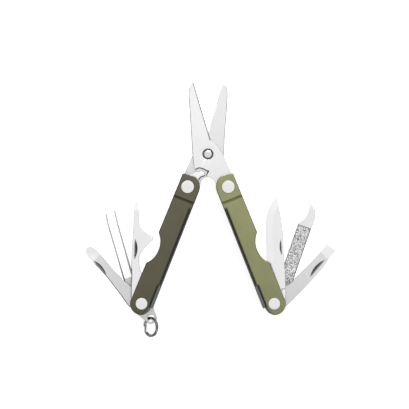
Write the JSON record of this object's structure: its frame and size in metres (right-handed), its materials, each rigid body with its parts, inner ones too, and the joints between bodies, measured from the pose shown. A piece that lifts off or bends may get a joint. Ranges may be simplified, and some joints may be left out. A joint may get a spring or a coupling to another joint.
{
  "type": "multi tool",
  "caption": "Folding key-chain multi tool lying open: spring scissors between two channel handles, small tools fanned out of each handle, key ring on a tab.",
  "frame": {"origin": "middle of the open tool's footprint, on the surface that its back rivet heads rest on", "axes": "+Y towards the scissor tips, +X towards the green handle's side, +Z out of the front faces"},
  "size_m": [0.1104, 0.113, 0.0116],
  "materials": {
    "green_cover": "satin",
    "dark_cover": "satin",
    "blade_steel": "satin",
    "file_steel": "etched",
    "spring_steel": "polished",
    "frame_steel": "satin",
    "rivet_steel": "polished",
    "washer_steel": "satin",
    "ring_chrome": "bright"
  },
  "bodies": {
    "front_blade": {"scissor_blade_front": "blade_steel"},
    "pivot_rivet": {"scissor_pivot_rivet": "rivet_steel"},
    "pivot_bush": {"scissor_pivot_bush": "washer_steel"},
    "rear_blade": {"scissor_blade_rear": "blade_steel"},
    "spring_seat_back": {"left_tang_spacer_back": "washer_steel"},
    "spring_seat_front": {"left_tang_spacer_front": "washer_steel"},
    "spring": {"scissor_spring": "spring_steel"},
    "right_handle": {"right_frame": "frame_steel", "right_scale_front": "green_cover", "right_scale_back": "green_cover", "right_tang_rivet": "rivet_steel", "right_tool_rivet": "rivet_steel", "right_tang_spacer_back": "washer_steel", "right_tang_spacer_front": "washer_steel", "right_tool_washer": "washer_steel", "right_tool_spacer": "washer_steel"},
    "left_handle": {"left_frame": "frame_steel", "left_scale_front": "dark_cover", "left_scale_back": "dark_cover", "left_tang_rivet": "rivet_steel", "left_tool_rivet": "rivet_steel", "left_tool_washer": "washer_steel", "left_tool_spacer": "washer_steel"},
    "knife": {"knife_blade": "blade_steel"},
    "file": {"nail_file": "file_steel"},
    "medium_driver": {"medium_screwdriver": "blade_steel"},
    "opener": {"cap_opener": "blade_steel"},
    "small_driver": {"small_screwdriver": "blade_steel"},
    "tweezers": {"tweezers_plate": "blade_steel"},
    "tweezers_outer": {"tweezers_arm_outer": "blade_steel"},
    "tweezers_inner": {"tweezers_arm_inner": "blade_steel"},
    "tab": {"lanyard_tab": "blade_steel"},
    "ring": {"key_ring": "ring_chrome"}
  },
  "joints": [
    {"name": "tuck_for_right_handle", "type": "hinge", "parent": "front_blade", "child": "pivot_rivet", "pos_m": [-0.00128, 0.02437, 0], "axis": [0, 0, 1], "range_deg": [0, 14.5]},
    {"name": "tuck_for_left_handle", "type": "hinge", "parent": "pivot_rivet", "child": "pivot_bush", "pos_m": [-0.00128, 0.02437, 0], "axis": [0, 0, 1], "range_deg": [0, 14.5]},
    {"name": "scissor_squeeze", "type": "hinge", "parent": "pivot_bush", "child": "rear_blade", "pos_m": [-0.00128, 0.02437, 0], "axis": [0, 0, -1], "range_deg": [-25.5, 0], "stiffness_Nm_per_rad": 0.3},
    {"name": "spring_follows_squeeze", "type": "hinge", "parent": "rear_blade", "child": "spring_seat_back", "pos_m": [-0.01022, 0.00991, 0], "axis": [0, 0, -1], "range_deg": [-28.55, 0]},
    {"name": "spring_follows_left_fold", "type": "hinge", "parent": "spring_seat_back", "child": "spring_seat_front", "pos_m": [-0.01022, 0.00991, 0], "axis": [0, 0, 1], "range_deg": [0, 16.2]},
    {"name": "spring_follows_right_fold", "type": "hinge", "parent": "spring_seat_front", "child": "spring", "pos_m": [-0.01022, 0.00991, 0], "axis": [0, 0, 1], "range_deg": [0, 16.2]},
    {"name": "right_handle_fold", "type": "hinge", "parent": "front_blade", "child": "right_handle", "pos_m": [0.00766, 0.00991, 0], "axis": [0, 0, 1], "range_deg": [0, 172.77]},
    {"name": "left_handle_fold", "type": "hinge", "parent": "rear_blade", "child": "left_handle", "pos_m": [-0.01022, 0.00991, 0], "axis": [0, 0, -1], "range_deg": [0, 172.77]},
    {"name": "knife_swing", "type": "hinge", "parent": "right_handle", "child": "knife", "pos_m": [0.02791, -0.04149, 0], "axis": [0, 0, 1], "range_deg": [-158, 22]},
    {"name": "file_swing", "type": "hinge", "parent": "right_handle", "child": "file", "pos_m": [0.02791, -0.04149, 0], "axis": [0, 0, 1], "range_deg": [-139.4, 40.6]},
    {"name": "medium_driver_swing", "type": "hinge", "parent": "right_handle", "child": "medium_driver", "pos_m": [0.02791, -0.04149, 0], "axis": [0, 0, 1], "range_deg": [-113.3, 66.7]},
    {"name": "opener_swing", "type": "hinge", "parent": "left_handle", "child": "opener", "pos_m": [-0.03047, -0.04149, 0], "axis": [0, 0, -1], "range_deg": [-159.5, 20.5]},
    {"name": "small_driver_swing", "type": "hinge", "parent": "left_handle", "child": "small_driver", "pos_m": [-0.03047, -0.04149, 0], "axis": [0, 0, -1], "range_deg": [-111.5, 68.5]},
    {"name": "tweezers_swing", "type": "hinge", "parent": "left_handle", "child": "tweezers", "pos_m": [-0.03047, -0.04149, 0], "axis": [0, 0, -1], "range_deg": [-126, 40.75]},
    {"name": "tweezers_pinch", "type": "hinge", "parent": "tweezers", "child": "tweezers_outer", "pos_m": [-0.03746, -0.03376, 0], "axis": [0, 0, -1], "range_deg": [0, 2.6], "stiffness_Nm_per_rad": 0.05},
    {"name": "tweezers_inner_pinch", "type": "hinge", "parent": "tweezers", "child": "tweezers_inner", "pos_m": [-0.03363, -0.03243, 0], "axis": [0, 0, 1], "range_deg": [0, 2.6]},
    {"name": "tab_swing", "type": "hinge", "parent": "left_handle", "child": "tab", "pos_m": [-0.03047, -0.04149, 0], "axis": [0, 0, -1], "range_deg": [0, 53.6]},
    {"name": "ring_swing", "type": "hinge", "parent": "tab", "child": "ring", "pos_m": [-0.02652, -0.04799, 0.00445], "axis": [0, -1, 0], "range_deg": [-2, 90]}
  ],
  "couplings": [
    {"joint": "tuck_for_right_handle", "follows": "right_handle_fold", "ratio": 0.082595},
    {"joint": "tuck_for_left_handle", "follows": "left_handle_fold", "ratio": 0.082595},
    {"joint": "spring_follows_squeeze", "follows": "scissor_squeeze", "ratio": 1.1},
    {"joint": "spring_follows_left_fold", "follows": "left_handle_fold", "ratio": 0.090855},
    {"joint": "spring_follows_right_fold", "follows": "right_handle_fold", "ratio": 0.090855},
    {"joint": "tweezers_inner_pinch", "follows": "tweezers_pinch", "ratio": 1}
  ]
}
